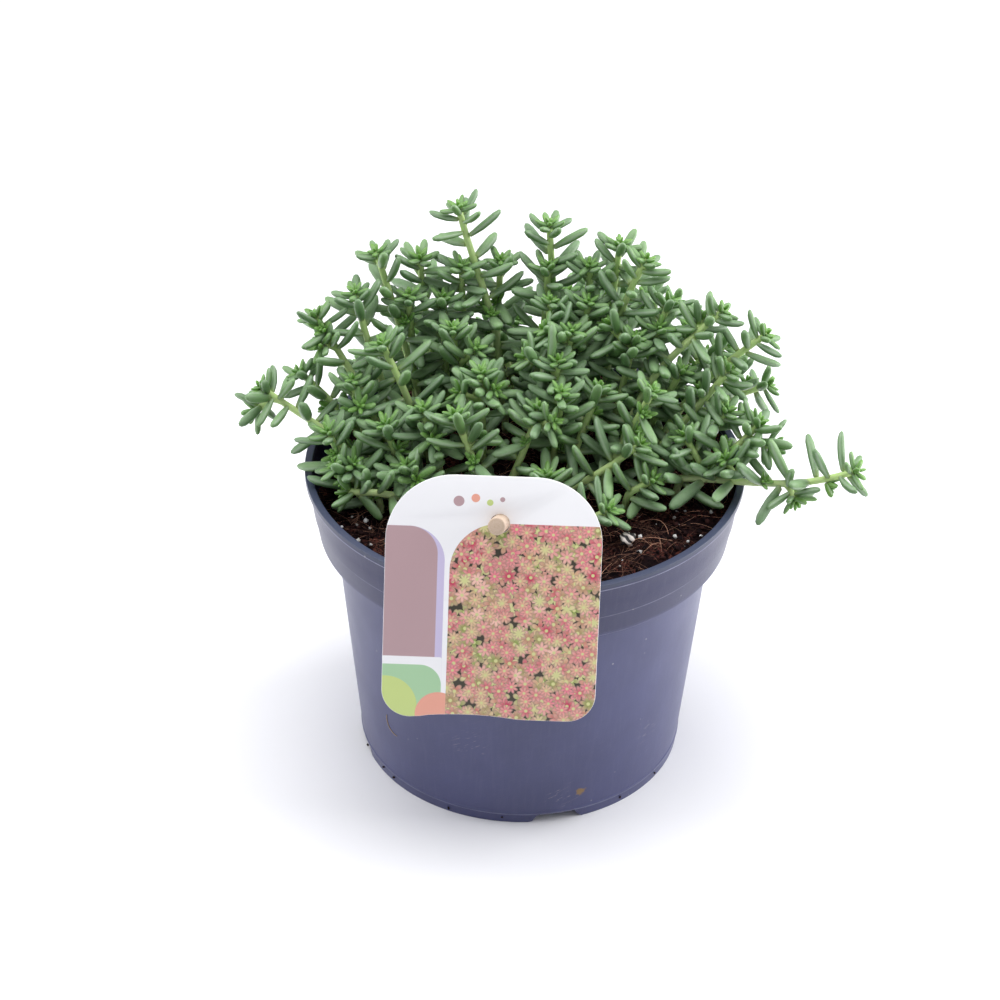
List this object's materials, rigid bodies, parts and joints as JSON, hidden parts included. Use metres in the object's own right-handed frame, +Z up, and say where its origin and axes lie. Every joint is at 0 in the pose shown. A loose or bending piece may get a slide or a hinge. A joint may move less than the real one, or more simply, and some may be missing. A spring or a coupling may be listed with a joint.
{
  "type": "potted white stonecrop plant",
  "caption": "Clump of white stonecrop with sausage-shaped leaves and bright rosette tips, growing in a round plastic nursery pot, with a plant label pinned to the soil by a peg.",
  "frame": {"origin": "middle of the footprint box, on the ground under the pot's foot ring", "axes": "+Z up; +X along the widest spread of the stems, to the viewer's right; +Y to the back, away from the label"},
  "size_m": [0.1916, 0.1526, 0.1685],
  "materials": {
    "pot_plastic": "satin",
    "potting_soil": "matte",
    "label_plastic": "satin",
    "peg_wood": "matte",
    "plant": "satin"
  },
  "bodies": {
    "root": {"pot": "pot_plastic", "soil": "potting_soil", "label": "label_plastic", "label_peg": "peg_wood", "shoot_crown": "plant", "shoot_left_back_1": "plant", "shoot_left_back_2": "plant", "shoot_left_1": "plant", "shoot_left_2": "plant", "shoot_left_3": "plant", "shoot_left_4": "plant", "shoot_left_5": "plant", "shoot_left_6": "plant", "shoot_left_7": "plant", "shoot_left_8": "plant", "shoot_left_9": "plant", "shoot_left_10": "plant", "shoot_left_trailing": "plant", "shoot_front_1": "plant", "shoot_front_2": "plant", "shoot_front_3": "plant", "shoot_front_4": "plant", "shoot_front_5": "plant", "shoot_front_6": "plant", "shoot_front_7": "plant", "shoot_front_8": "plant", "shoot_front_9": "plant", "shoot_front_10": "plant", "shoot_front_11": "plant", "shoot_front_12": "plant", "shoot_front_13": "plant", "shoot_front_14": "plant", "shoot_front_15": "plant", "shoot_front_16": "plant", "shoot_front_17": "plant", "shoot_middle_1": "plant", "shoot_middle_2": "plant", "shoot_middle_3": "plant", "shoot_middle_4": "plant", "shoot_middle_5": "plant", "shoot_middle_6": "plant", "shoot_middle_7": "plant", "shoot_middle_8": "plant", "shoot_middle_9": "plant", "shoot_right_1": "plant", "shoot_right_2": "plant", "shoot_right_3": "plant", "shoot_right_4": "plant", "shoot_right_5": "plant", "shoot_right_6": "plant", "shoot_right_7": "plant", "shoot_right_trailing": "plant", "shoot_back_1": "plant", "shoot_back_2": "plant", "shoot_back_3": "plant", "shoot_back_4": "plant", "shoot_back_5": "plant", "shoot_back_6": "plant", "shoot_back_7": "plant", "shoot_back_8": "plant"}
  },
  "joints": []
}
